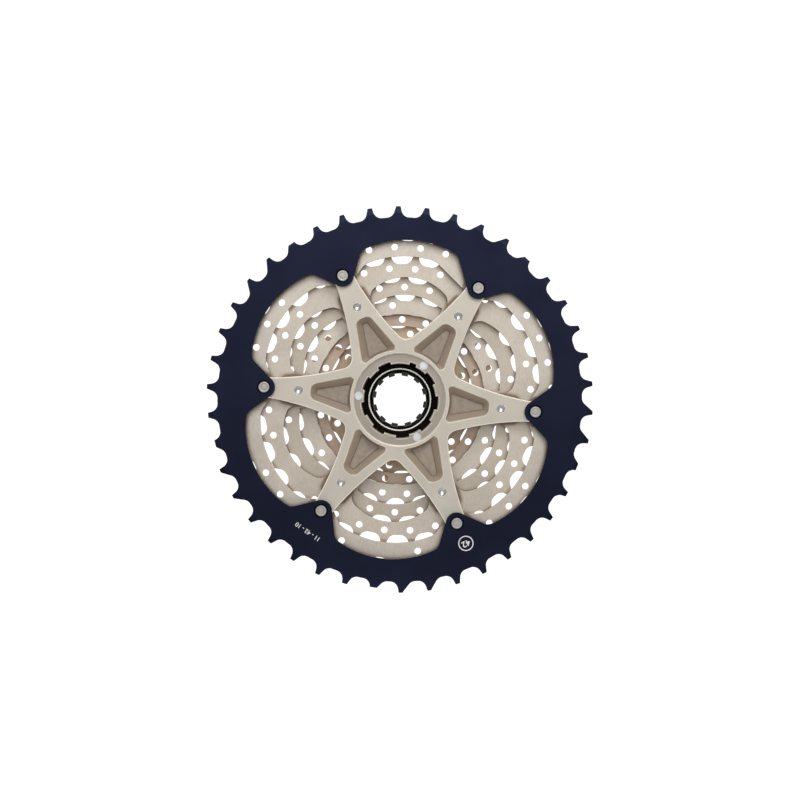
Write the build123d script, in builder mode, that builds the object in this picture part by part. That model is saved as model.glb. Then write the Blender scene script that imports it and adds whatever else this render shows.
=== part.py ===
from build123d import *
import os
from math import asin, cos, pi, radians, sin, sqrt

# A ten-speed 11-42 tooth bicycle cassette.
# Millimetres and degrees. The axle line is Y, the wheel side (inboard) is -Y and
# the frame side (outboard) is +Y. The origin is on the axle line, in the plane of
# the face that seats on the freehub shoulder. Angles run from +X towards +Z.

# chain and tooth form
CHAIN_PITCH = 12.7
ROOT_BELOW_PITCH = 3.885
TIP_ABOVE_PITCH = 1.03
TALL_TIP_ABOVE_PITCH = 1.35  # the 18 and the 21 have taller teeth
SMALL_TIP_ABOVE_PITCH = 0.3  # the small sprockets have low teeth
VALLEY_OVERRUN = 2.0  # tooth gaps are cut this far beyond the tips
FRONT_FOOT = 1.97  # half width of a tooth at its root, on its clockwise side
BACK_FOOT = 2.83  # the same, on its counter-clockwise side
FRONT_LEAN = 0.213  # flank slope, sideways over outwards
BACK_LEAN = 0.358
GATE_FOOT = 4.64  # the long sloping back flank of the teeth at a shift gate
GATE_LEAN = 0.8
GATE_TEETH = 3  # how many teeth in a row have it
VALLEY_FILLET = 3.6
SMALL_VALLEY_FILLET = 2.6
FEW_TEETH = 16  # below this a sprocket counts as small
TALL_TEETH = 22  # below this, and not small, it has tall teeth
GATE_TOOTH_DROP = 1.6  # how much shorter the gate tooth is
LEAD_TOOTH_DROP = 0.5  # and the tooth before it
BEVEL_LENGTH = 3.0  # tooth tips are thinned over this length
BEVEL_DEPTH = 0.35
RAMP_DEPTH = 0.55  # recesses that lift the chain at a gate
RAMP_LENGTH = 15.0
RAMP_WIDTH = 5.4
RAMP_TURN = 62.0  # from the spoke it lies on
RAMP_BELOW_ROOT = 2.6
STACK_RAMPS = {24: (3, 11, 19), 21: (3, 10, 17), 18: (1, 7, 13)}
# the short teeth of the pinned stack, how much shorter they are, and how many
# teeth from each one on have the sloping flank
STACK_GATES = {24: ((7, 15, 23), 1.6, 2), 21: ((14, 15), 2.2, 0), 18: ((), 0.0, 0)}

# axial layout: the mid-plane of each sprocket
SPEED_PITCH = 3.95
STEEL = 1.6  # thickness of a steel sprocket
ALLOY = 2.0  # thickness of the largest sprocket
MID_42 = -3.0
MID_37 = MID_42 + SPEED_PITCH

# sprockets on the spider and in the pinned stack:
# teeth, angle of the first tooth, hole circle radius, teeth without a hole
RINGS = {
    37: (14.06, 68.23, (3, 4, 11, 12, 18, 19, 25, 26, 33, 34)),
    32: (4.5, 59.0, (2, 3, 10, 11, 18, 19, 26, 27)),
    28: (10.35, 50.95, (1, 2, 8, 9, 15, 16, 22, 23)),
    24: (19.35, 42.88, (3, 4, 7, 11, 12, 15, 19, 20, 23)),
    21: (19.7, 36.6, ()),
    18: (20.85, 30.5, ()),
}
TOP_PHASE = 4.62
TOP_GATES = (5, 14, 22, 30, 39)  # the short teeth of the 42
SMALL_PHASE = {15: 21.0, 13: 12.0, 11: 6.0}
SPROCKET_HOLE = 1.5  # radius

# six-fold layout
ARMS = 6
ARM_STEP = 360 / ARMS
ARM_ANGLE = 54.75
WINDOW_ANGLE = ARM_ANGLE - ARM_STEP / 2

# how each ring is opened between the arms:
# arch radius, its centre's distance from the axle, tab radius, tab centre radius,
# half angle of the tab's widening root (None for a round tab), corner fillet
OUTER_RIVET_CIRCLE = 60.65
MID_RIVET_CIRCLE = 45.3
OPENINGS = {
    42: (42.0, 29.2, 4.85, OUTER_RIVET_CIRCLE, 41.0, 4.5),
    37: (43.8, 20.4, 4.8, OUTER_RIVET_CIRCLE, 59.5, 8.0),
    32: (23.45, 31.7, 6.9, MID_RIVET_CIRCLE, None, 5.0),
    28: (25.2, 22.25, 8.0, MID_RIVET_CIRCLE, None, 2.0),
}
WIDE_FLANK = {42: 51.0, 37: 80.0}  # the first tab is wider on its counter-clockwise side
TAB_ROOT_LENGTH = 24.0
STACK_OPENING = {24: 38.7, 21: 33.6}  # round openings of the pinned sprockets
STACK_ARM_WIDTH = 8.0
STACK_HUB = 22.4

# freehub spline, also the bore of every sprocket that sits on it
LAND_RADIUS = 16.4
GROOVE_RADIUS = 17.55
GROOVES = 9
GROOVE_STEP = 360 / GROOVES
GROOVE_START = 344.0  # where the first wide groove starts
GROOVE_WIDTH = 21.0
NARROW_GROOVE = 2  # index of the single narrow groove
NARROW_WIDTH = 10.5

# spider
SEAT_RADIUS = 20.6
ARM_FACE = MID_42 + ALLOY / 2
ARM_TIP_FACE = MID_37 - STEEL / 2
RING_SEAT_FACE = ARM_TIP_FACE + SPEED_PITCH
HUB_END = RING_SEAT_FACE + 2 * SPEED_PITCH
ARM_ROOT = (20.0, 13.9)
ARM_MIDDLE = (38.0, 7.95)
ARM_NECK = (57.0, 4.65)
HUB_BLANK_RADIUS = 25.0
HUB_BARREL_RADIUS = 21.8
ARM_ROOT_FACE = 7.5  # how far outboard the arms reach beside the hub
ARM_SLOPE_END = 37.5
RING_SEAT_END = 53.5
WINDOW_FILLET = 4.5
EDGE_CHAMFER = 0.35
POCKET_DEPTH = 4.4
POCKET_MOUTH = (40.0, 3.4, 22.1, 9.3, 3.2, 1.7)
POCKET_FLOOR = (37.6, 1.15, 22.9, 4.9, 1.0, 0.8)

# rivets and pins
FIT_GAP = 0.04  # radial, between a rivet or pin and its hole
OUTER_RIVET = 2.0
OUTER_RIVET_HEAD = 2.45
OUTER_RIVET_TAIL = 2.9
HEAD_EDGE = 0.18  # chamfer round a head
OUTER_RECESS = 3.1
OUTER_RECESS_DEPTH = 0.9
MID_RIVET = 1.5
MID_RIVET_HEAD = 1.9
MID_RIVET_HEAD_DEPTH = 0.7
MID_DIMPLE = 1.65
MID_DIMPLE_DEPTH = 0.6
MID_RIVET_TAIL = 2.4
TAIL_HEIGHT = 0.75
TAIL_EDGE = 0.3  # straight edge below a tail's dome
BUSH_RADIUS = 3.0
PINS = 3
PIN_CIRCLE = 18.5
PIN_RADIUS = 1.2
PIN_HEAD = 1.6
PIN_HEAD_DEPTH = 0.6

# spacers, collars and the lockring
SPACER_RADIUS = 21.4
COLLAR_RADIUS = {13: 20.4, 11: 18.4}
WASHER_THICKNESS = 0.3
WASHER_INNER = 15.5
LOCKRING_FLANGE_RADIUS = 17.9
LOCKRING_FLANGE = 2.4
THREAD_RADIUS = 15.25
THREAD_PITCH = 1.0
THREAD_LENGTH = 6.5
THREAD_RELIEF = 0.9
SOCKET_ROOT = 12.1
SOCKET_TIP = 11.1
SOCKET_TEETH = 12
SOCKET_PHASE = 18.5
SOCKET_TOOTH_WIDTH = 3.0
SOCKET_LENGTH = 5.4
TOOTH_PROUD = 0.65  # how far the tool teeth stand out of the cone below them
LOCKRING_BORE = 13.75
THREAD_DEPTH = 0.6
THREAD_CREST = 0.2  # flat width of a crest
LEAD_IN = 14.6  # radius of the plain end of the barrel
CHAMFER = 0.4

CUT_MARGIN = 1.0


def mid_plane(teeth):
    """Distance of a sprocket's mid-plane from the seat."""
    order = (42, 37, 32, 28, 24, 21, 18, 15, 13, 11)
    return MID_42 + SPEED_PITCH * order.index(teeth)


def inner_face(teeth):
    return mid_plane(teeth) - STEEL / 2


def outer_face(teeth):
    return mid_plane(teeth) + STEEL / 2


def across(y):
    """Sketch plane square to the axle at y. Sketch x is +X, sketch y is +Z, and it extrudes inboard."""
    return Plane(origin=(0, y, 0), x_dir=(1, 0, 0), z_dir=(0, -1, 0))


def polar(radius, angle):
    return (radius * cos(radians(angle)), radius * sin(radians(angle)))


def beside(radius, offset, angle):
    """The point at this radius that lies offset to the side of the spoke at angle."""
    along = sqrt(radius**2 - offset**2)
    turn = radians(angle)
    return (
        along * cos(turn) - offset * sin(turn),
        along * sin(turn) + offset * cos(turn),
    )


def pitch_radius(teeth):
    return CHAIN_PITCH / (2 * sin(pi / teeth))


def root_radius(teeth):
    return pitch_radius(teeth) - ROOT_BELOW_PITCH


def tip_radius(teeth):
    if teeth < FEW_TEETH:
        above = SMALL_TIP_ABOVE_PITCH
    elif teeth < TALL_TEETH:
        above = TALL_TIP_ABOVE_PITCH
    else:
        above = TIP_ABOVE_PITCH
    return pitch_radius(teeth) + above


def valley(teeth, foot, lean):
    """The gap between the tooth at angle 0 and the next one, with the first tooth's back flank given."""
    root = root_radius(teeth)
    rim = tip_radius(teeth) + VALLEY_OVERRUN
    height = rim - root
    step = 360 / teeth
    near_rim = beside(rim, foot - lean * height, 0)
    near_foot = beside(root, foot, 0)
    far_foot = beside(root, -FRONT_FOOT, step)
    far_rim = beside(rim, FRONT_LEAN * height - FRONT_FOOT, step)
    radius = SMALL_VALLEY_FILLET if teeth < FEW_TEETH else VALLEY_FILLET
    with BuildSketch() as gap:
        with BuildLine():
            Line(near_rim, near_foot)
            ThreePointArc(near_foot, polar(root, step / 2), far_foot)
            Line(far_foot, far_rim)
            Line(far_rim, near_rim)
        make_face()
        fillet(gap.vertices().sort_by(Axis((0, 0, 0), polar(1, step / 2)))[:2], radius)
    return gap.sketch


def tooth_trim(teeth, drop):
    """What comes off the tooth at angle 0 when its tip is lowered."""
    rim = tip_radius(teeth)
    low = rim - drop
    reach = BACK_FOOT + FRONT_FOOT
    with BuildSketch() as trim:
        with Locations((low + VALLEY_OVERRUN, 0)):
            Rectangle(2 * VALLEY_OVERRUN, 2 * reach)
    return trim.sketch


def toothed_disc(teeth, phase, gates, drop=GATE_TOOTH_DROP, sloped_teeth=GATE_TEETH):
    """Outline of a sprocket: a disc with its tooth gaps, a gate tooth being short and sloped."""
    step = 360 / teeth
    plain = valley(teeth, BACK_FOOT, BACK_LEAN)
    sloped = valley(teeth, GATE_FOOT, GATE_LEAN)
    cuts = []
    for tooth in range(teeth):
        at_gate = any((tooth - back) % teeth in gates for back in range(sloped_teeth))
        gap = sloped if at_gate else plain
        cuts.append(gap.rotate(Axis.Z, phase + tooth * step))
    for tooth in gates:
        at = phase + tooth * step
        cuts.append(tooth_trim(teeth, drop).rotate(Axis.Z, at))
        cuts.append(tooth_trim(teeth, LEAD_TOOTH_DROP).rotate(Axis.Z, at - step))
    with BuildSketch() as disc:
        Circle(tip_radius(teeth))
        add(cuts, mode=Mode.SUBTRACT)
    return disc.sketch


def tab_flank(radius, centre, half_angle):
    """Where a tab's straight flank leaves its round end, and where it ends in the ring."""
    turn = radians(half_angle)
    touch = (centre - radius * sin(turn), radius * cos(turn))
    end = (touch[0] + TAB_ROOT_LENGTH * cos(turn), touch[1] + TAB_ROOT_LENGTH * sin(turn))
    return touch, end


def tab(radius, centre, half_angle, wide_angle):
    """A rivet tab on +X: a round end, with a root that widens outwards or not at all."""
    with BuildSketch() as shape:
        with Locations((centre, 0)):
            Circle(radius)
        if half_angle is not None:
            touch, end = tab_flank(radius, centre, half_angle)
            wide_touch, wide_end = tab_flank(radius, centre, wide_angle)
            root = centre + TAB_ROOT_LENGTH
            Polygon(
                (centre, 0),
                (touch[0], -touch[1]),
                (end[0], -end[1]),
                (root, -end[1]),
                (root, wide_end[1]),
                wide_end,
                wide_touch,
                align=None,
            )
    return shape.sketch


def arched_ring(teeth, phase, gates):
    """A toothed ring opened by six arches, with six tabs that reach in to the rivets."""
    arch, centre, tab_radius, tab_centre, half_angle, corner = OPENINGS[teeth]
    blank = toothed_disc(teeth, phase, gates)
    wide_angle = WIDE_FLANK.get(teeth, half_angle)
    even_tab = tab(tab_radius, tab_centre, half_angle, half_angle)
    first_tab = tab(tab_radius, tab_centre, half_angle, wide_angle)
    with BuildSketch() as opening:
        Circle(tab_centre)
        with PolarLocations(centre, ARMS, start_angle=WINDOW_ANGLE):
            Circle(arch)
        for angle in arm_angles():
            rivet_tab = first_tab if angle == ARM_ANGLE else even_tab
            add(rivet_tab.rotate(Axis.Z, angle), mode=Mode.SUBTRACT)
        corners = [v for v in opening.vertices() if is_arch_corner(v, arch, centre)]
        fillet(corners, corner)
    with BuildSketch() as ring:
        add(blank)
        add(opening.sketch, mode=Mode.SUBTRACT)
    return ring.sketch


def is_arch_corner(vertex, arch, centre):
    """True where a tab meets an arch."""
    for window in range(ARMS):
        x, y = polar(centre, WINDOW_ANGLE + window * ARM_STEP)
        if abs(sqrt((vertex.X - x) ** 2 + (vertex.Y - y) ** 2) - arch) < 0.01:
            return True
    return False


def sector(inner, outer, start, width):
    """A piece of a ring between two radii."""
    with BuildSketch() as piece:
        with BuildLine():
            Line(polar(inner, start), polar(outer, start))
            CenterArc((0, 0), outer, start, width)
            Line(polar(outer, start + width), polar(inner, start + width))
            Line(polar(inner, start + width), polar(inner, start))
        make_face()
    return piece.sketch


def spline_bore():
    """The bore that slides over the freehub: nine grooves, one of them narrow."""
    grooves = []
    for index in range(GROOVES):
        width = NARROW_WIDTH if index == NARROW_GROOVE else GROOVE_WIDTH
        start = GROOVE_START + index * GROOVE_STEP
        grooves.append(sector(LAND_RADIUS - CUT_MARGIN, GROOVE_RADIUS, start, width))
    with BuildSketch() as bore:
        Circle(LAND_RADIUS)
        add(grooves)
    return bore.sketch


def circles(radius, circle, angles):
    """Round holes on a hole circle."""
    with BuildSketch() as holes:
        with Locations([polar(circle, angle) for angle in angles]):
            Circle(radius)
    return holes.sketch


def arm_angles():
    return [ARM_ANGLE + arm * ARM_STEP for arm in range(ARMS)]


def pin_angles():
    return [ARM_ANGLE + pin * 360 / PINS for pin in range(PINS)]


def tooth_holes(teeth):
    """The through-holes under the teeth of one ring."""
    phase, circle, plain = RINGS[teeth]
    angles = [phase + tooth * 360 / teeth for tooth in range(teeth) if tooth not in plain]
    return circles(SPROCKET_HOLE, circle, angles)


def gate_teeth(teeth):
    """The first of each pair of teeth that has no hole is a gate tooth."""
    plain = RINGS[teeth][2]
    return tuple(tooth for tooth in plain if tooth - 1 not in plain and tooth + 1 in plain)


def shift_ramps(teeth, phase, gates):
    """Shallow recesses on the outboard face that lift the chain at each gate."""
    step = 360 / teeth
    with BuildSketch() as ramps:
        for tooth in gates:
            spoke = phase + (tooth + 0.6) * step
            spot = polar(root_radius(teeth) - RAMP_BELOW_ROOT, spoke)
            with Locations(Location((*spot, 0), (0, 0, spoke + RAMP_TURN))):
                SlotOverall(RAMP_LENGTH, RAMP_WIDTH)
    return ramps.sketch


def bevels(teeth, inboard, outboard):
    """Cross-sections that thin the tooth tips on both faces."""
    start = tip_radius(teeth) - BEVEL_LENGTH
    end = tip_radius(teeth) + CUT_MARGIN
    depth = BEVEL_DEPTH * (end - start) / BEVEL_LENGTH
    with BuildSketch() as section:
        Polygon((start, inboard), (end, inboard), (end, inboard + depth), align=None)
        Polygon((start, outboard), (end, outboard), (end, outboard - depth), align=None)
    return section.sketch


def plate(outline, teeth, inboard, thickness, ramps=None):
    """A sprocket plate from its outline, with thinned tooth tips and shift ramps."""
    outboard = inboard + thickness
    tip_section = bevels(teeth, inboard, outboard)
    with BuildPart() as body:
        with BuildSketch(across(outboard)):
            add(outline)
        extrude(amount=thickness)
        with BuildSketch(Plane.XY):
            add(tip_section)
        revolve(axis=Axis.Y, mode=Mode.SUBTRACT)
        if ramps is not None:
            with BuildSketch(across(outboard)):
                add(ramps)
            extrude(amount=RAMP_DEPTH, mode=Mode.SUBTRACT)
    return body.part



def save(part, name):
    """Label a finished piece and write its STEP file."""
    part.label = name
    export_step(part, f"parts/{name}.step")


def make_sprocket_42t():
    """The black alloy ring, with recesses for the outer rivet heads."""
    outline = arched_ring(42, TOP_PHASE, TOP_GATES)
    ramps = shift_ramps(42, TOP_PHASE, TOP_GATES)
    blank = plate(outline, 42, ARM_FACE - ALLOY, ALLOY, ramps)
    recesses = circles(OUTER_RECESS, OUTER_RIVET_CIRCLE, arm_angles())
    holes = circles(OUTER_RIVET + FIT_GAP, OUTER_RIVET_CIRCLE, arm_angles())
    with BuildPart() as ring:
        add(blank)
        with BuildSketch(across(ARM_FACE)):
            add(holes)
        extrude(amount=ALLOY, mode=Mode.SUBTRACT)
        with BuildSketch(across(ARM_FACE - ALLOY + OUTER_RECESS_DEPTH)):
            add(recesses)
        extrude(amount=OUTER_RECESS_DEPTH, mode=Mode.SUBTRACT)
    save(ring.part, "sprocket_42t")


def make_riveted_ring(teeth, rivet_radius):
    """A steel ring that is riveted to the spider."""
    phase = RINGS[teeth][0]
    gates = gate_teeth(teeth)
    solid_outline = arched_ring(teeth, phase, gates)
    circle = OPENINGS[teeth][3]
    with BuildSketch() as outline:
        add(solid_outline)
        add(tooth_holes(teeth), mode=Mode.SUBTRACT)
        add(circles(rivet_radius + FIT_GAP, circle, arm_angles()), mode=Mode.SUBTRACT)
    ramps = shift_ramps(teeth, phase, gates)
    ring = plate(outline.sketch, teeth, inner_face(teeth), STEEL, ramps)
    save(ring, f"sprocket_{teeth}t")


def make_stack_sprocket(teeth):
    """A steel sprocket of the pinned stack: splined hub, hidden arms and toothed ring."""
    phase = RINGS[teeth][0]
    disc = toothed_disc(teeth, phase, *STACK_GATES[teeth])
    ramps = shift_ramps(teeth, phase, STACK_RAMPS[teeth])
    bore = spline_bore()
    with BuildSketch() as outline:
        add(disc)
        add(tooth_holes(teeth), mode=Mode.SUBTRACT)
        if teeth in STACK_OPENING:
            Circle(STACK_OPENING[teeth], mode=Mode.SUBTRACT)
            length = STACK_OPENING[teeth] + CUT_MARGIN
            with PolarLocations(length / 2, ARMS, start_angle=ARM_ANGLE):
                Rectangle(length, STACK_ARM_WIDTH)
            Circle(STACK_HUB)
        add(bore, mode=Mode.SUBTRACT)
        add(circles(PIN_RADIUS + FIT_GAP, PIN_CIRCLE, pin_angles()), mode=Mode.SUBTRACT)
    sprocket = plate(outline.sketch, teeth, inner_face(teeth), STEEL, ramps)
    save(sprocket, f"sprocket_{teeth}t")


def make_small_sprocket(teeth, collar_length):
    """A loose small sprocket, with an inboard collar that spaces it from its neighbour."""
    phase = SMALL_PHASE[teeth]
    disc = toothed_disc(teeth, phase, ())
    bore = spline_bore()
    with BuildSketch() as outline:
        add(disc)
        add(bore, mode=Mode.SUBTRACT)
    blank = plate(outline.sketch, teeth, inner_face(teeth), STEEL)
    with BuildPart() as sprocket:
        add(blank)
        if collar_length:
            with BuildSketch(across(inner_face(teeth))):
                Circle(COLLAR_RADIUS[teeth])
                add(bore, mode=Mode.SUBTRACT)
            extrude(amount=collar_length)
    save(sprocket.part, f"sprocket_{teeth}t")


def arm_plan():
    """One spider arm along +X."""
    root_x, root_y = ARM_ROOT
    middle_x, middle_y = ARM_MIDDLE
    neck_x, neck_y = ARM_NECK
    end = (OUTER_RIVET_CIRCLE, neck_y)
    with BuildSketch() as arm:
        with BuildLine():
            ThreePointArc((root_x, root_y), (middle_x, middle_y), (neck_x, neck_y))
            Line((neck_x, neck_y), end)
            ThreePointArc(end, (OUTER_RIVET_CIRCLE + neck_y, 0), (end[0], -end[1]))
            Line((end[0], -end[1]), (neck_x, -neck_y))
            ThreePointArc((neck_x, -neck_y), (middle_x, -middle_y), (root_x, -root_y))
            Line((root_x, -root_y), (root_x, root_y))
        make_face()
    return arm.sketch


def spider_plan():
    """The six arms and the hub, seen along the axle."""
    arm = arm_plan()
    with BuildSketch() as plan:
        Circle(HUB_BLANK_RADIUS)
        with PolarLocations(0, ARMS, start_angle=ARM_ANGLE):
            add(arm)
        vees = [v for v in plan.vertices() if HUB_BLANK_RADIUS < v.distance_to((0, 0, 0)) < 30]
        fillet(vees, WINDOW_FILLET)
    return plan.sketch


def spider_section():
    """Half section of the spider about the axle line: a barrel and arms that step to each ring."""
    tip = OUTER_RIVET_CIRCLE + ARM_NECK[1] + CUT_MARGIN
    with BuildSketch() as section:
        Polygon(
            (0, ARM_FACE),
            (tip, ARM_FACE),
            (tip, ARM_TIP_FACE),
            (RING_SEAT_END, ARM_TIP_FACE),
            (RING_SEAT_END, RING_SEAT_FACE),
            (ARM_SLOPE_END, RING_SEAT_FACE),
            (HUB_BARREL_RADIUS, ARM_ROOT_FACE),
            (HUB_BARREL_RADIUS, HUB_END),
            (0, HUB_END),
            align=None,
        )
    return section.sketch


def pocket(size):
    """Outline of an arm pocket on +X: wide and concave at the hub, narrow and round at its apex."""
    apex, apex_half, base, base_half, apex_fillet, base_fillet = size
    corner = beside(base, base_half, 0)
    with BuildSketch() as outline:
        with BuildLine():
            Line((apex, apex_half), corner)
            ThreePointArc(corner, (base, 0), (corner[0], -corner[1]))
            Line((corner[0], -corner[1]), (apex, -apex_half))
            Line((apex, -apex_half), (apex, apex_half))
        make_face()
        fillet(outline.vertices().group_by(Axis.X)[-1], apex_fillet)
        fillet(outline.vertices().group_by(Axis.X)[0], base_fillet)
    return outline.sketch


def pocket_solid(angle):
    """The drafted hollow of one arm pocket."""
    mouth = pocket(POCKET_MOUTH).rotate(Axis.Z, angle)
    floor = pocket(POCKET_FLOOR).rotate(Axis.Z, angle)
    with BuildPart() as hollow:
        with BuildSketch(across(ARM_FACE + POCKET_DEPTH)):
            add(floor)
        with BuildSketch(across(ARM_FACE)):
            add(mouth)
        loft(ruled=True)
    return hollow.part


def make_spider():
    """The alloy carrier: hub, six pocketed arms, splined bore, seat and rivet holes."""
    plan = spider_plan()
    section = spider_section()
    bore = spline_bore()
    pockets = [pocket_solid(angle) for angle in arm_angles()]
    outer_holes = circles(OUTER_RIVET + FIT_GAP, OUTER_RIVET_CIRCLE, arm_angles())
    mid_holes = circles(MID_RIVET + FIT_GAP, MID_RIVET_CIRCLE, arm_angles())
    mid_heads = circles(MID_RIVET_HEAD + FIT_GAP, MID_RIVET_CIRCLE, arm_angles())
    pin_holes = circles(PIN_RADIUS + FIT_GAP, PIN_CIRCLE, pin_angles())
    pin_heads = circles(PIN_HEAD + FIT_GAP, PIN_CIRCLE, pin_angles())
    length = HUB_END - ARM_FACE
    with BuildPart() as spider:
        with BuildSketch(across(HUB_END)):
            add(plan)
        extrude(amount=length)
        with BuildSketch(Plane.XY):
            add(section)
        revolve(axis=Axis.Y, mode=Mode.INTERSECT)
        chamfer(spider.faces().sort_by(Axis.Y)[0].outer_wire().edges(), EDGE_CHAMFER)
        with BuildSketch(across(0)):
            Circle(SEAT_RADIUS)
        extrude(amount=-ARM_FACE, mode=Mode.SUBTRACT)
        with BuildSketch(across(HUB_END)):
            add(bore)
            add(outer_holes)
            add(mid_holes)
            add(pin_holes)
        extrude(amount=length, mode=Mode.SUBTRACT)
        with BuildSketch(across(ARM_FACE + MID_RIVET_HEAD_DEPTH)):
            add(mid_heads)
        extrude(amount=MID_RIVET_HEAD_DEPTH, mode=Mode.SUBTRACT)
        with BuildSketch(across(PIN_HEAD_DEPTH)):
            add(pin_heads)
        extrude(amount=PIN_HEAD_DEPTH, mode=Mode.SUBTRACT)
        add(pockets, mode=Mode.SUBTRACT)
        rim = spider.edges().filter_by(GeomType.CIRCLE)
        rim = [e for e in rim if abs(e.radius - SEAT_RADIUS) < 0.01 and abs(e.center().Y - ARM_FACE) < 0.01]
        chamfer(rim, EDGE_CHAMFER)
    save(spider.part, "spider")


def dome(width, height):
    """Radius of a cap this wide from its axis and this high."""
    return (width**2 + height**2) / (2 * height)


def cap_middle(width, height):
    """The point halfway along a cap's arc, measured from the axis and down from its top."""
    radius = dome(width, height)
    half = asin(width / radius) / 2
    return radius * sin(half), radius * (1 - cos(half))


def turned(section, spots, circle):
    """A turned piece about the +Y line, repeated on a circle round the axle."""
    with BuildPart() as piece:
        with BuildSketch(Plane.XY):
            add(section)
        revolve(axis=Axis.Y)
    copies = []
    for angle in spots:
        x, z = polar(circle, angle)
        copies.append(piece.part.moved(Location((x, 0, z))))
    return Compound(children=copies)


def make_outer_rivets():
    """Rivets that hold the 42 and the 37 to the arm tips, flush on the inboard side."""
    head = ARM_FACE - ALLOY
    neck = head + OUTER_RECESS_DEPTH
    seat = outer_face(37)
    tail = seat + TAIL_HEIGHT
    across_cap, down_cap = cap_middle(OUTER_RIVET_TAIL, TAIL_HEIGHT - TAIL_EDGE)
    with BuildSketch() as section:
        with BuildLine():
            Polyline(
                (0, head),
                (OUTER_RIVET_HEAD - HEAD_EDGE, head),
                (OUTER_RIVET_HEAD, head + HEAD_EDGE),
                (OUTER_RIVET_HEAD, neck),
                (OUTER_RIVET, neck),
                (OUTER_RIVET, seat),
                (OUTER_RIVET_TAIL, seat),
                (OUTER_RIVET_TAIL, seat + TAIL_EDGE),
            )
            ThreePointArc((OUTER_RIVET_TAIL, seat + TAIL_EDGE), (across_cap, tail - down_cap), (0, tail))
            Line((0, tail), (0, head))
        make_face()
    save(turned(section.sketch, arm_angles(), OUTER_RIVET_CIRCLE), "outer_rivets")


def make_mid_rivets():
    """Rivets through the arms, the 32, a bush and the 28, with a dimpled inboard head."""
    head = ARM_FACE
    neck = head + MID_RIVET_HEAD_DEPTH
    seat = outer_face(28)
    tail = seat + TAIL_HEIGHT
    across_cap, down_cap = cap_middle(MID_RIVET_TAIL, TAIL_HEIGHT - TAIL_EDGE)
    across_dimple, up_dimple = cap_middle(MID_DIMPLE, MID_DIMPLE_DEPTH)
    bottom = head + MID_DIMPLE_DEPTH
    with BuildSketch() as section:
        with BuildLine():
            Line((0, bottom), (0, tail))
            ThreePointArc((0, tail), (across_cap, tail - down_cap), (MID_RIVET_TAIL, seat + TAIL_EDGE))
            Polyline(
                (MID_RIVET_TAIL, seat + TAIL_EDGE),
                (MID_RIVET_TAIL, seat),
                (MID_RIVET, seat),
                (MID_RIVET, neck),
                (MID_RIVET_HEAD, neck),
                (MID_RIVET_HEAD, head + HEAD_EDGE),
                (MID_RIVET_HEAD - HEAD_EDGE, head),
                (MID_DIMPLE, head),
            )
            ThreePointArc((MID_DIMPLE, head), (across_dimple, bottom - up_dimple), (0, bottom))
        make_face()
    save(turned(section.sketch, arm_angles(), MID_RIVET_CIRCLE), "mid_rivets")


def make_rivet_bushes():
    """Short tubes on the mid rivets that space the 28 from the 32."""
    with BuildSketch() as section:
        with Locations(((MID_RIVET + FIT_GAP + BUSH_RADIUS) / 2, (outer_face(32) + inner_face(28)) / 2)):
            Rectangle(BUSH_RADIUS - MID_RIVET - FIT_GAP, inner_face(28) - outer_face(32))
    save(turned(section.sketch, arm_angles(), MID_RIVET_CIRCLE), "rivet_bushes")


def make_cluster_pins():
    """Pins that hold the spider and the 24, 21 and 18 together as one stack."""
    end = outer_face(18)
    with BuildSketch() as section:
        with BuildLine():
            Polyline(
                (0, 0),
                (PIN_HEAD, 0),
                (PIN_HEAD, PIN_HEAD_DEPTH),
                (PIN_RADIUS, PIN_HEAD_DEPTH),
                (PIN_RADIUS, end),
                (0, end),
                (0, 0),
            )
        make_face()
    save(turned(section.sketch, pin_angles(), PIN_CIRCLE), "cluster_pins")


def make_spacer(inboard_teeth, outboard_teeth, pinned):
    """A splined spacer between two sprockets, with pin holes where the stack is pinned."""
    start = outer_face(inboard_teeth)
    end = inner_face(outboard_teeth)
    bore = spline_bore()
    holes = circles(PIN_RADIUS + FIT_GAP, PIN_CIRCLE, pin_angles())
    with BuildPart() as spacer:
        with BuildSketch(across(end)):
            Circle(SPACER_RADIUS)
            add(bore, mode=Mode.SUBTRACT)
            if pinned:
                add(holes, mode=Mode.SUBTRACT)
        extrude(amount=end - start)
        rims = spacer.edges().filter_by(GeomType.CIRCLE)
        chamfer([e for e in rims if abs(e.radius - SPACER_RADIUS) < 0.01], CHAMFER / 2)
    save(spacer.part, f"spacer_{inboard_teeth}_{outboard_teeth}")


def make_lockring_washer():
    """The thin washer under the lockring's flange."""
    with BuildPart() as washer:
        with BuildSketch(across(outer_face(11) + WASHER_THICKNESS)):
            Circle(LOCKRING_FLANGE_RADIUS)
            Circle(WASHER_INNER, mode=Mode.SUBTRACT)
        extrude(amount=WASHER_THICKNESS)
    save(washer.part, "lockring_washer")


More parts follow.
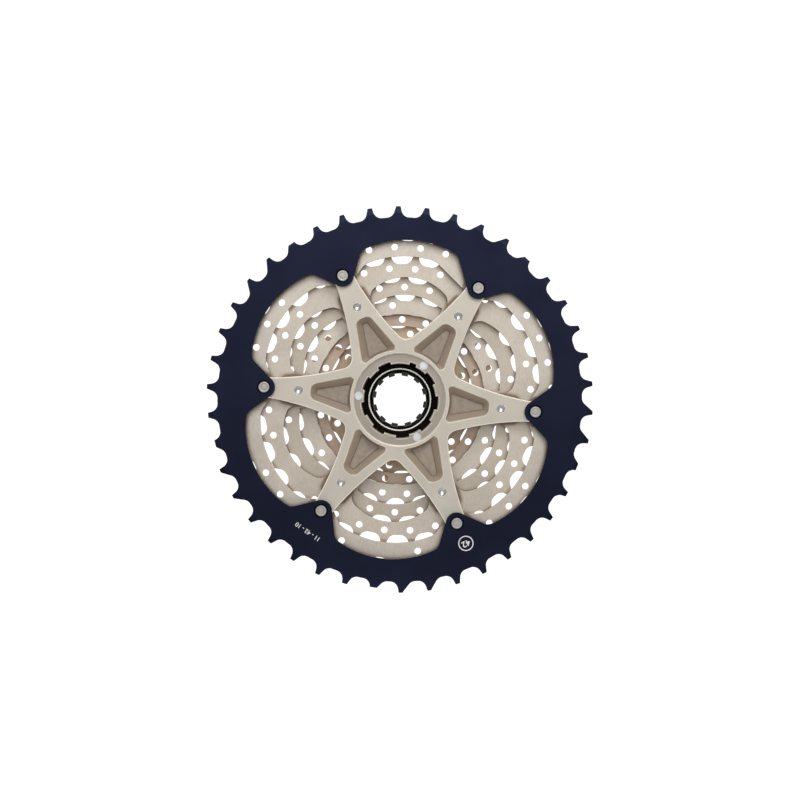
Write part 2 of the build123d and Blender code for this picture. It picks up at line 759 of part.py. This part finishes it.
def make_lockring():
    """The lockring: a flange, a threaded barrel and a twelve-tooth tool socket."""
    under = outer_face(11) + WASHER_THICKNESS
    top = under + LOCKRING_FLANGE
    end = under - THREAD_LENGTH
    socket_end = top - SOCKET_LENGTH
    cone_end = socket_end - (LOCKRING_BORE - SOCKET_ROOT)
    core = THREAD_RADIUS - THREAD_DEPTH
    turns = int((THREAD_LENGTH - THREAD_RELIEF) / THREAD_PITCH)
    flank = (THREAD_PITCH - THREAD_CREST) / 2
    outline = [(0, top), (LOCKRING_FLANGE_RADIUS - CHAMFER, top)]
    outline += [(LOCKRING_FLANGE_RADIUS, top - CHAMFER), (LOCKRING_FLANGE_RADIUS, under)]
    outline += [(core, under), (core, under - THREAD_RELIEF)]
    for turn in range(turns):
        crest = under - THREAD_RELIEF - turn * THREAD_PITCH
        outline.append((THREAD_RADIUS, crest - flank))
        outline.append((THREAD_RADIUS, crest - flank - THREAD_CREST))
        outline.append((core, crest - THREAD_PITCH))
    outline += [(LEAD_IN, end + THREAD_CREST), (LEAD_IN, end), (0, end)]
    with BuildPart() as lockring:
        with BuildSketch(Plane.XY):
            Polygon(*outline, align=None)
        revolve(axis=Axis.Y)
        with BuildSketch(Plane.XY):
            Polygon(
                (0, top),
                (SOCKET_ROOT, top),
                (SOCKET_ROOT, socket_end),
                (LOCKRING_BORE, cone_end),
                (LOCKRING_BORE, end),
                (0, end),
                align=None,
            )
        revolve(axis=Axis.Y, mode=Mode.SUBTRACT)
        with BuildSketch(across(top)):
            with PolarLocations(SOCKET_ROOT, SOCKET_TEETH, start_angle=SOCKET_PHASE):
                Rectangle(2 * (SOCKET_ROOT - SOCKET_TIP), SOCKET_TOOTH_WIDTH)
        extrude(amount=SOCKET_LENGTH + TOOTH_PROUD)
        with BuildSketch(Plane.XY):
            mouth = SOCKET_ROOT + CHAMFER
            throat = (SOCKET_TIP - CHAMFER, top - 2 * CHAMFER)
            Polygon((0, top), (mouth, top), throat, (0, throat[1]), align=None)
        revolve(axis=Axis.Y, mode=Mode.SUBTRACT)
    save(lockring.part, "lockring")


os.makedirs("parts", exist_ok=True)
make_spider()
make_sprocket_42t()
make_riveted_ring(37, OUTER_RIVET)
make_riveted_ring(32, MID_RIVET)
make_riveted_ring(28, MID_RIVET)
for stack_teeth in (24, 21, 18):
    make_stack_sprocket(stack_teeth)
make_spacer(24, 21, True)
make_spacer(21, 18, True)
make_spacer(18, 15, False)
make_small_sprocket(15, 0)
make_small_sprocket(13, inner_face(13) - outer_face(15))
make_small_sprocket(11, inner_face(11) - outer_face(13))
make_outer_rivets()
make_mid_rivets()
make_rivet_bushes()
make_cluster_pins()
make_lockring_washer()
make_lockring()
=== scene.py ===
import math

import bmesh
import bpy
from mathutils import Matrix, Vector


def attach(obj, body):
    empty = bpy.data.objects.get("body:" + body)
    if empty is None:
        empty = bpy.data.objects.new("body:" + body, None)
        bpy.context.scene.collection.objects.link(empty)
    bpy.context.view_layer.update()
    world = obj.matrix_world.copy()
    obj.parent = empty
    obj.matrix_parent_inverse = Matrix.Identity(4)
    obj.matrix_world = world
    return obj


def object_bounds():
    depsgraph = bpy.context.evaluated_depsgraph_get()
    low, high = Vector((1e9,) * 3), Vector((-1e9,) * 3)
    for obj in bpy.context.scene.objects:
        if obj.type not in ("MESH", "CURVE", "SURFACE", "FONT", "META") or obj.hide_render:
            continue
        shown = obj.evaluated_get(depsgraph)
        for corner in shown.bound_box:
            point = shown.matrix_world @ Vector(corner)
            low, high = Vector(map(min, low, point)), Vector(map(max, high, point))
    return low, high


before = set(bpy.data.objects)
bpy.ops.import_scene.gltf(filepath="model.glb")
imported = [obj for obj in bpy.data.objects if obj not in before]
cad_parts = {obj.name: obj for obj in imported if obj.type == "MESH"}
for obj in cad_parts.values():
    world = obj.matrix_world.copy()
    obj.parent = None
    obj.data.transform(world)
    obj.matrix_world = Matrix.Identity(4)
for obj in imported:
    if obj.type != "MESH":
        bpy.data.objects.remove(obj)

CAD_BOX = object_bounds()
MM = 0.001

# the cassette's layout, as the CAD part has it
TOP_FACE = -4.0 * MM  # inboard face of the largest sprocket
SEAT_RADIUS = 20.6 * MM
ARMS = 6
ARM_ANGLE = 54.75  # of the first arm, in degrees
RIVET_CIRCLE = 60.65 * MM
RIVET_GROOVE_RADIUS = 1.35 * MM
LOCKRING_END = 27.15 * MM
STAND_HEIGHT = CAD_BOX[0].z

# where one finish gives way to another, or to painted shade or glints: each pair is where the new one
# is 0 and where it is 1
TEETH_WEAR_AND_GLINT = (77.2 * MM, 79.0 * MM)
RECESS_SHADE_DEPTH = (TOP_FACE + 0.15 * MM, TOP_FACE + 0.50 * MM)
POCKET_DEPTH = (-1.72 * MM, -1.25 * MM)
POCKET_INSIDE = (21.2 * MM, 21.8 * MM)
POCKET_OUTSIDE = (46.2 * MM, 44.0 * MM)
SEAT_RIM = (SEAT_RADIUS + 0.02 * MM, SEAT_RADIUS - 0.12 * MM)
SEAT_DEPTH = (-0.9 * MM, -0.4 * MM)
BARE_DEPTH = (LOCKRING_END + 0.45 * MM, LOCKRING_END + 0.35 * MM)
BARE_INSIDE = (13.88 * MM, 13.98 * MM)
BARE_OUTSIDE = (14.50 * MM, 14.40 * MM)
TOOL_TEETH = (13.1 * MM, 12.7 * MM)


# ---------------------------------------------------------------- node helpers
class Nodes:
    """Short calls that add nodes to a tree."""

    def __init__(self, tree):
        self.tree = tree

    def add(self, kind, inputs=None, **settings):
        node = self.tree.nodes.new(kind)
        for key, value in settings.items():
            setattr(node, key, value)
        for key, value in (inputs or {}).items():
            self.set(node.inputs[key], value)
        return node

    def set(self, socket, value):
        if isinstance(value, bpy.types.NodeSocket):
            self.tree.links.new(value, socket)
        else:
            socket.default_value = value

    def math(self, operation, *values):
        return self.add("ShaderNodeMath", dict(enumerate(values)), operation=operation).outputs[0]

    def product(self, first, *factors):
        for factor in factors:
            first = self.math("MULTIPLY", first, factor)
        return first

    def length(self, first, second):
        return self.math(
            "SQRT", self.math("ADD", self.product(first, first), self.product(second, second))
        )

    def axes(self, vector):
        return self.add("ShaderNodeSeparateXYZ", {"Vector": vector}).outputs

    def ramp(self, value, low, high, out_low=0.0, out_high=1.0):
        inputs = {
            "Value": value,
            "From Min": low,
            "From Max": high,
            "To Min": out_low,
            "To Max": out_high,
        }
        node = self.add("ShaderNodeMapRange", inputs, interpolation_type="SMOOTHSTEP")
        return node.outputs["Result"]

    def split_rays(self, seen, lit, output):
        """Gives the camera one shader and everything else another."""
        to_camera = self.add("ShaderNodeLightPath").outputs["Is Camera Ray"]
        both = self.add("ShaderNodeMixShader", {0: to_camera, 1: lit, 2: seen}).outputs[0]
        self.add(output, {"Surface": both})


class Shader(Nodes):
    """A material being built: a principled shader and the masks that its colours use."""

    def __init__(self, name):
        self.material = bpy.data.materials.new(name)
        self.material.use_nodes = True
        super().__init__(self.material.node_tree)
        self.bsdf = self.tree.nodes["Principled BSDF"]
        self.place = self.add("ShaderNodeTexCoord").outputs["Object"]

    def surface(self, looks):
        """Sets the principled shader's sockets by name, and gives the finished material."""
        for socket, value in looks.items():
            self.set(self.bsdf.inputs[socket], value)
        return self.material

    def noise(self, scale, detail=3.0, rough=0.55, stretch=None):
        """Noise of so many cells to the metre."""
        place = self.place
        if stretch is not None:
            place = self.add("ShaderNodeMapping", {"Vector": place, "Scale": stretch}).outputs[0]
        inputs = {"Vector": place, "Scale": scale, "Detail": detail, "Roughness": rough}
        return self.add("ShaderNodeTexNoise", inputs).outputs["Fac"]

    def full(self, noise, out_low=0.0, out_high=1.0):
        """Noise keeps near its middle: this spreads it over the whole of a range."""
        return self.ramp(noise, 0.3, 0.7, out_low, out_high)

    def mix(self, factor, first, second, blend="MIX"):
        node = self.add("ShaderNodeMix", data_type="RGBA", blend_type=blend)
        self.set(node.inputs["Factor"], factor)
        self.set(node.inputs[6], first)
        self.set(node.inputs[7], second)
        return node.outputs[2]

    def radius(self):
        """Distance from the axle."""
        x, _, z = self.axes(self.place)
        return self.length(x, z)

    def depth(self):
        """Distance along the axle, outboard."""
        return self.axes(self.place)[1]

    def waves(self, value, pitch, offset=0.0):
        """Lathe lines, a pitch apart."""
        turns = self.product(value, 2 * math.pi / pitch)
        return self.math("SINE", self.math("ADD", turns, offset))

    def flat_normal(self):
        return self.add("ShaderNodeNewGeometry").outputs["True Normal"]

    def rounded_normal(self, radius, samples):
        return self.add("ShaderNodeBevel", {"Radius": radius}, samples=samples).outputs[0]

    def cut_side(self, edge=0.3 * MM):
        """1 on the walls that run along the axle and just round their edges, 0 on the faces."""
        across = self.math("ABSOLUTE", self.axes(self.rounded_normal(edge, 4))[1])
        return self.ramp(across, 0.70, 0.98, 1.0, 0.0)

    def near(self, distance):
        """1 in the open, falling towards 0 where other surfaces are closer than distance."""
        node = self.add("ShaderNodeAmbientOcclusion", {"Distance": distance}, samples=8)
        return node.outputs["AO"]

    def edges(self, width, soft):
        """1 along the sharp edges, hollow or raised, and 0 on the faces between them."""
        normals = {
            0: self.rounded_normal(width, 6),
            1: self.add("ShaderNodeNewGeometry").outputs["Normal"],
        }
        dot = self.add("ShaderNodeVectorMath", normals, operation="DOT_PRODUCT")
        return self.ramp(dot.outputs["Value"], 1.0 - soft, 0.998, 1.0, 0.0)

    def chamfers(self):
        """1 on the faces that slope at about 45 degrees to the axle."""
        across = self.math("ABSOLUTE", self.axes(self.flat_normal())[1])
        return self.product(self.ramp(across, 0.45, 0.60), self.ramp(across, 0.90, 0.80))

    def relief(self, height, distance, strength, edge=None):
        """Bump, over edges that are rounded by a given radius."""
        inputs = {"Height": height, "Distance": distance, "Strength": strength}
        if edge is not None:
            inputs["Normal"] = self.rounded_normal(edge, 4)
        return self.add("ShaderNodeBump", inputs).outputs[0]


def rgba(colour, factor=1.0, tint=(1.0, 1.0, 1.0)):
    return (*(part * shade * factor for part, shade in zip(colour, tint)), 1.0)


def grey(level):
    return (level, level, level, 1.0)


# ---------------------------------------------------------------- finishes, with painted light and shade
STEEL_OUTBOARD = (0.58, 0.53, 0.455)
WEAR_AND_GLINT_GREY = (0.095, 0.125, 0.15)
CREASE_SHADE_BROWN = (0.085, 0.058, 0.038)


def pressed_steel(name, colour):
    """Nickel-plated sheet, rolled grain, cloudy plating; painted shade on inboard faces, punched
    walls (partly raw cut) and gaps between sprockets, and a painted highlight on open edges.
    """
    s = Shader(name)
    grain = s.noise(1500, 4.0, 0.7, stretch=(1.0, 1.0, 0.35))
    speck = s.noise(3800, 2.0, 0.6)
    # painted shade: faces turned inboard keep the darker, browner per-sprocket colour, faces turned
    # outboard take the plain plating colour
    outboard = s.ramp(s.axes(s.flat_normal())[1], 0.2, 0.6)
    base = s.mix(outboard, rgba(colour), rgba(STEEL_OUTBOARD))
    clouds = s.mix(s.full(s.noise(70, 4.0, 0.6)), grey(0.94), grey(1.06))
    base = s.mix(1.0, base, clouds, "MULTIPLY")
    dulled = s.mix(1.0, base, rgba((0.90, 0.88, 0.86)), "MULTIPLY")
    base = s.mix(s.ramp(grain, 0.35, 0.7), base, dulled)
    # walls along the axle and round their edges darker: partly the raw punched cut, partly painted
    # shade
    cut = s.cut_side()
    base = s.mix(cut, base, rgba(colour, 0.45, tint=(1.0, 0.86, 0.74)))
    # painted shade: dark brown where other surfaces come close, in the gaps between sprockets
    clear_of_crevice_shade = s.ramp(s.near(2.9 * MM), 0.74, 0.93)
    base = s.mix(clear_of_crevice_shade, rgba(colour, 0.36, tint=(1.0, 0.80, 0.64)), base)
    # painted highlight: a paler line along the open edges
    rim_highlight = s.product(s.edges(0.45 * MM, 0.08), clear_of_crevice_shade, 0.8)
    base = s.mix(rim_highlight, base, rgba(colour, 1.45, tint=(1.0, 0.97, 0.92)))
    height = s.math("ADD", s.product(grain, 0.6), s.product(speck, 0.4))
    return s.surface({
        "Base Color": base,
        "Metallic": 0.72,
        "Roughness": s.math("ADD", s.ramp(speck, 0.3, 0.75, 0.37, 0.50), s.product(cut, 0.12)),
        "Normal": s.relief(height, 0.03 * MM, 0.35, edge=0.16 * MM),
    })


def black_anodised(name, colour):
    """Blue-black anodised aluminium: blasted grain, faint lathe lines, paler tooth edges (part wear,
    part painted glints), painted shade on the walls and in the rivet recess.
    """
    s = Shader(name)
    grain = s.noise(5200, 3.0, 0.65)
    radius = s.radius()
    base = s.mix(s.full(s.noise(45, 3.0, 0.5)), rgba(colour, 0.9), rgba(colour, 1.12))
    # painted shade: walls along the axle darker
    base = s.mix(s.product(s.cut_side(), 0.6), base, rgba(colour, 0.45))
    # paler edges on the outer teeth, in patches: part wear of the anodising, part painted glints
    patchy = s.ramp(s.noise(75, 2.0), 0.42, 0.62)
    outer = s.ramp(radius, *TEETH_WEAR_AND_GLINT, 0.0, 0.8)
    base = s.mix(s.product(s.edges(0.5 * MM, 0.02), patchy, outer), base, rgba(WEAR_AND_GLINT_GREY))
    # painted shade for the recess at the rivet tabs; it runs from the recess outboard, so the
    # outboard face is darkened with it
    base = s.mix(s.product(s.ramp(s.depth(), *RECESS_SHADE_DEPTH), 0.8), base, rgba(colour, 0.12))
    height = s.math("ADD", grain, s.product(s.waves(radius, 0.42 * MM), 0.06))
    return s.surface({
        "Base Color": base,
        "Metallic": 0.9,
        "Specular IOR Level": 0.3,
        "Roughness": s.full(grain, 0.28, 0.39),
        "Normal": s.relief(height, 0.03 * MM, 0.3, edge=0.18 * MM),
    })


def spider_alloy(name, colour, pocket, seat):
    """Champagne anodised aluminium: blasted faces, brown pockets with the casting skin and a grey
    turned seat; paler pocket walls as painted light, painted shade in the pocket creases, a painted
    highlight on the edges and chamfers.
    """
    s = Shader(name)
    grain = s.noise(2600, 4.0, 0.65)
    fine = s.noise(7000, 2.0, 0.6)
    radius = s.radius()
    depth = s.depth()
    base = s.mix(s.full(s.noise(60, 4.0, 0.6)), rgba(colour, 0.97), rgba(colour, 1.04))

    sunk = s.product(
        s.ramp(depth, *POCKET_DEPTH), s.ramp(radius, *POCKET_INSIDE), s.ramp(radius, *POCKET_OUTSIDE)
    )
    pocket_tone_and_wall_light = s.mix(s.full(s.noise(420, 5.0, 0.65)), rgba(pocket, 0.88), rgba(pocket, 1.14))
    # painted light: the pocket walls take a paler copy of the pocket colour, against the shade that
    # falls on them
    wall_light = s.product(s.cut_side(0.15 * MM), 0.9)
    pocket_tone_and_wall_light = s.mix(wall_light, pocket_tone_and_wall_light, rgba(pocket, 1.22, tint=(1.0, 0.96, 0.92)))
    base = s.mix(sunk, base, pocket_tone_and_wall_light)

    turned_face = s.product(s.ramp(radius, *SEAT_RIM), s.ramp(depth, *SEAT_DEPTH))
    wander = s.product(s.noise(30.0, 2.0, 0.5), 3.0)
    turned = s.waves(radius, 0.38 * MM, offset=wander)
    seat_colour = s.mix(s.ramp(turned, -1.0, 1.0), rgba(seat, 0.92), rgba(seat, 1.08))
    base = s.mix(turned_face, base, seat_colour)

    # painted shade: dark brown along the hollow and raised edges in the pockets, at their mouths and
    # creases
    crease_shade = s.product(s.edges(0.9 * MM, 0.05), sunk, 0.85)
    base = s.mix(crease_shade, base, rgba(CREASE_SHADE_BROWN))
    # painted highlight: paler edges and chamfers outside the pockets
    outline_highlight = s.math("MAXIMUM", s.edges(0.5 * MM, 0.08), s.chamfers())
    base = s.mix(s.product(outline_highlight, s.math("SUBTRACT", 1.0, sunk)), base, rgba(colour, 1.75))

    rough = s.mix(turned_face, grey(0.44), grey(0.33))
    rough = s.mix(sunk, rough, grey(0.58))
    height = s.math("ADD", s.product(grain, 0.7), s.product(fine, 0.3))
    height = s.math("ADD", height, s.product(turned, turned_face, 0.25))
    return s.surface({
        "Base Color": base,
        "Metallic": s.ramp(sunk, 0.0, 1.0, 0.7, 0.15),
        "Roughness": s.math("ADD", rough, s.full(fine, -0.03, 0.05)),
        "Normal": s.relief(height, 0.04 * MM, 0.35, edge=0.12 * MM),
    })


def plain_metal(name, colour, roughness):
    """A small metal piece: cloudy colour, fine grain and rounded edges."""
    s = Shader(name)
    grain = s.noise(3000, 3.0, 0.65)
    base = s.mix(s.full(s.noise(260, 3.0, 0.6)), rgba(colour, 0.93), rgba(colour, 1.07))
    # painted shade: walls along the axle darker
    base = s.mix(s.product(s.cut_side(), 0.5), base, rgba(colour, 0.6))
    return s.surface({
        "Base Color": base,
        "Metallic": 0.85,
        "Roughness": s.full(grain, roughness - 0.04, roughness + 0.06),
        "Normal": s.relief(grain, 0.03 * MM, 0.3, edge=0.1 * MM),
    })


def rivet_steel(name, colour):
    """Pressed rivet heads: a grey disc inside a shallow groove, repeated round the arms."""
    s = Shader(name)
    x, _, z = s.axes(s.place)
    step = 2 * math.pi / ARMS
    turn = s.math("SUBTRACT", s.math("ARCTAN2", z, x), math.radians(ARM_ANGLE))
    nearest = s.product(s.math("ROUND", s.math("DIVIDE", turn, step)), step)
    turn = s.math("SUBTRACT", turn, nearest)
    radius = s.radius()
    along = s.math("SUBTRACT", s.product(radius, s.math("COSINE", turn)), RIVET_CIRCLE)
    aside = s.product(radius, s.math("SINE", turn))
    off = s.math("SUBTRACT", s.length(along, aside), RIVET_GROOVE_RADIUS)
    groove = s.ramp(s.math("ABSOLUTE", off), 0.12 * MM, 0.40 * MM, 1.0, 0.0)
    grain = s.noise(2400, 3.0, 0.65)
    base = s.mix(s.full(grain), rgba(colour, 0.92), rgba(colour, 1.08))
    # painted shade: darker in the groove round each head
    base = s.mix(s.product(groove, 0.5), base, rgba(colour, 0.62))
    # painted shade: walls along the axle darker
    base = s.mix(s.product(s.cut_side(0.2 * MM), 0.7), base, rgba(colour, 0.45))
    height = s.math("SUBTRACT", s.product(grain, 0.3), groove)
    return s.surface({
        "Base Color": base,
        "Metallic": 0.75,
        "Roughness": s.full(grain, 0.36, 0.46),
        "Normal": s.relief(height, 0.08 * MM, 0.6, edge=0.2 * MM),
    })


def printed(name):
    """White pad-printed ink, thin in places."""
    s = Shader(name)
    thick = s.ramp(s.noise(2600, 3.0, 0.6), 0.35, 0.6)
    return s.surface({
        "Base Color": s.mix(thick, rgba((0.52, 0.53, 0.56)), grey(0.82)),
        "Roughness": s.ramp(thick, 0.0, 1.0, 0.55, 0.42),
        "Normal": s.relief(thick, 0.008 * MM, 0.3),
    })


def lockring_black(name):
    """Gloss black anodising, with painted glints on the tool teeth and a bare bright ring at the
    barrel's end.
    """
    s = Shader(name)
    radius = s.radius()
    grain = s.noise(4000, 3.0, 0.6)
    bare = s.product(
        s.ramp(s.depth(), *BARE_DEPTH), s.ramp(radius, *BARE_INSIDE), s.ramp(radius, *BARE_OUTSIDE)
    )
    black = s.mix(s.full(grain), rgba((0.003, 0.0028, 0.0026)), rgba((0.006, 0.0055, 0.005)))
    # painted glints: paler grey on the edges of the tool teeth
    tooth_glints = s.product(s.edges(0.5 * MM, 0.05), s.ramp(radius, *TOOL_TEETH), 0.8)
    black = s.mix(tooth_glints, black, rgba((0.22, 0.25, 0.28)))
    return s.surface({
        "Base Color": s.mix(bare, black, rgba((0.88, 0.88, 0.87))),
        "Metallic": bare,
        "Roughness": s.full(grain, 0.22, 0.30),
        "Normal": s.relief(grain, 0.02 * MM, 0.25, edge=0.15 * MM),
    })


# painted shade: the darker, browner colours of each sprocket's inboard faces
STEEL_INBOARD_SHADED = {
    37: (0.60, 0.552, 0.49),
    32: (0.60, 0.548, 0.478),
    28: (0.545, 0.49, 0.415),
    24: (0.64, 0.585, 0.515),
    21: (0.56, 0.445, 0.365),
    18: (0.60, 0.47, 0.355),
    15: (0.60, 0.49, 0.39),
    13: (0.45, 0.40, 0.34),
    11: (0.45, 0.40, 0.34),
}

MATERIALS = {
    "spider": spider_alloy(
        "spider_alloy",
        colour=(0.565, 0.525, 0.456),
        pocket=(0.345, 0.288, 0.236),
        seat=(0.375, 0.337, 0.285),
    ),
    "sprocket_42t": black_anodised("top_ring_anodised", (0.0115, 0.0140, 0.0315)),
    "outer_rivets": rivet_steel("rivet_heads", (0.43, 0.42, 0.39)),
    "mid_rivets": plain_metal("dimpled_rivets", (0.62, 0.62, 0.61), 0.30),
    "rivet_bushes": plain_metal("bush_alloy", (0.50, 0.47, 0.43), 0.45),
    "cluster_pins": plain_metal("zinc_pins", (0.66, 0.73, 0.80), 0.36),
    "lockring_washer": plain_metal("washer_steel", (0.026, 0.015, 0.009), 0.5),
    "lockring": lockring_black("lockring_black"),
}
for teeth, colour in STEEL_INBOARD_SHADED.items():
    MATERIALS[f"sprocket_{teeth}t"] = pressed_steel(f"steel_{teeth}", colour)
spacer = plain_metal("spacer_alloy", (0.29, 0.235, 0.18), 0.45)
for name in ("spacer_24_21", "spacer_21_18", "spacer_18_15"):
    MATERIALS[name] = spacer

for name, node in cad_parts.items():
    node.data.materials.clear()
    node.data.materials.append(MATERIALS[name])


# ---------------------------------------------------------------- printed marks
INK = printed("white_ink")
INK_LIFT = 0.012 * MM
CAPITAL_HEIGHT = 0.70  # of the font, for a text size of 1
RANGE_PLACE = {"angle": 235.2, "radius": 71.6 * MM}
COUNT_PLACE = {"angle": 294.7, "radius": 70.4 * MM}


def ink_piece(name, data, angle, radius):
    """Lays a flat piece of ink on the largest sprocket, its top towards the teeth."""
    turn = math.radians(angle)
    up = Vector((math.cos(turn), 0.0, math.sin(turn)))
    out = Vector((0.0, -1.0, 0.0))
    right = up.cross(out)
    piece = bpy.data.objects.new(name, data)
    piece.matrix_world = Matrix(
        (
            (right.x, up.x, out.x, up.x * radius),
            (right.y, up.y, out.y, TOP_FACE - INK_LIFT),
            (right.z, up.z, out.z, up.z * radius),
            (0.0, 0.0, 0.0, 1.0),
        )
    )
    bpy.context.scene.collection.objects.link(piece)
    data.materials.append(INK)
    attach(piece, "cluster")


def number(name, digits, height, angle, radius):
    text = bpy.data.curves.new(name, "FONT")
    text.body = digits
    text.size = height / CAPITAL_HEIGHT
    text.align_x = "CENTER"
    text.align_y = "CENTER"
    text.offset = height * 0.02
    ink_piece(name, text, angle, radius)


def ring_mark(name, outer, inner, angle, radius):
    mesh = bmesh.new()
    rims = []
    steps = 64
    for step in range(steps):
        turn = 2 * math.pi * step / steps
        ray = Vector((math.cos(turn), math.sin(turn), 0.0))
        rims.append((mesh.verts.new(ray * inner), mesh.verts.new(ray * outer)))
    for first, second in zip(rims, rims[1:] + rims[:1]):
        mesh.faces.new((first[0], first[1], second[1], second[0]))
    data = bpy.data.meshes.new(name)
    mesh.to_mesh(data)
    mesh.free()
    ink_piece(name, data, angle, radius)


number("size_range_mark", "11 - 42 - 10", 1.9 * MM, **RANGE_PLACE)
number("tooth_count_mark", "42", 2.7 * MM, **COUNT_PLACE)
ring_mark("tooth_count_ring", 3.4 * MM, 2.95 * MM, **COUNT_PLACE)


# ---------------------------------------------------------------- stage, light and camera
SEEN_STRENGTH = 1.15
LENS = 80.97
CAMERA_PLACE = (0.12 * MM, -804.0 * MM, -0.22 * MM)


def stage_material():
    """White to the eye, and a soft warm light to the rest, dimmer in front of the part."""
    material = bpy.data.materials.new("stage_white")
    material.use_nodes = True
    material.node_tree.nodes.clear()
    n = Nodes(material.node_tree)
    y = n.axes(n.add("ShaderNodeTexCoord").outputs["Object"])[1]
    glow = n.ramp(y, -70.0 * MM, -10.0 * MM, 0.42, 1.10)
    lit = n.add("ShaderNodeEmission", {"Color": (1.0, 0.99, 0.97, 1.0), "Strength": glow})
    seen = n.add("ShaderNodeEmission", {"Strength": SEEN_STRENGTH})
    n.split_rays(seen.outputs[0], lit.outputs[0], "ShaderNodeOutputMaterial")
    return material


def sweep():
    """A floor that curves up into a backdrop."""
    half_width, front, bend, rise, corner = 4.0, -4.0, 1.6, 4.0, 0.9
    profile = [(front, 0.0), (bend, 0.0)]
    steps = 12
    for step in range(1, steps + 1):
        turn = math.pi / 2 * step / steps
        profile.append((bend + corner * math.sin(turn), corner * (1 - math.cos(turn))))
    profile.append((bend + corner, rise))
    mesh = bmesh.new()
    rows = []
    for y, z in profile:
        left = mesh.verts.new((-half_width, y, STAND_HEIGHT + z))
        right = mesh.verts.new((half_width, y, STAND_HEIGHT + z))
        rows.append((left, right))
    for low, high in zip(rows, rows[1:]):
        face = mesh.faces.new((low[0], low[1], high[1], high[0]))
        face.smooth = True
    data = bpy.data.meshes.new("sweep")
    mesh.to_mesh(data)
    mesh.free()
    data.materials.append(stage_material())
    floor = bpy.data.objects.new("sweep", data)
    bpy.context.scene.collection.objects.link(floor)


def surroundings():
    """A tent: bright straight in front, dim round that, bright from the sides back, more so above."""
    world = bpy.data.worlds.new("tent")
    bpy.context.scene.world = world
    world.use_nodes = True
    world.node_tree.nodes.clear()
    n = Nodes(world.node_tree)
    _, y, z = n.axes(n.add("ShaderNodeTexCoord").outputs["Generated"])
    front = n.ramp(y, -1.0, -0.68, 1.42, 0.2)
    sides = n.ramp(y, -0.35, -0.05, 0.0, 1.2)
    height = n.ramp(z, -0.22, 0.30, 0.66, 1.20)
    level = n.product(n.math("ADD", front, sides), height)
    glow = {"Color": (1.0, 0.985, 0.965, 1.0), "Strength": level}
    lit = n.add("ShaderNodeBackground", glow)
    seen = n.add("ShaderNodeBackground", {"Strength": SEEN_STRENGTH})
    n.split_rays(seen.outputs[0], lit.outputs[0], "ShaderNodeOutputWorld")


def soft_light(name, place, aim, size, energy):
    light = bpy.data.lights.new(name, "AREA")
    light.shape = "RECTANGLE"
    light.size, light.size_y = size
    light.energy = energy
    lamp = bpy.data.objects.new(name, light)
    lamp.location = place
    lamp.rotation_euler = (Vector(aim) - Vector(place)).to_track_quat("-Z", "Y").to_euler()
    bpy.context.scene.collection.objects.link(lamp)


def camera():
    data = bpy.data.cameras.new("camera")
    data.sensor_width = 36.0
    data.lens = LENS
    data.clip_start = 0.01
    data.clip_end = 50.0
    view = bpy.data.objects.new("camera", data)
    view.location = CAMERA_PLACE
    view.rotation_euler = (math.pi / 2, 0.0, 0.0)
    bpy.context.scene.collection.objects.link(view)
    bpy.context.scene.camera = view


sweep()
surroundings()
soft_light("top_softbox", (0.1, -0.75, 0.62), (0.0, 0.0, 0.0), (0.5, 0.4), 4.0)
camera()
bpy.context.scene.view_settings.view_transform = "Standard"
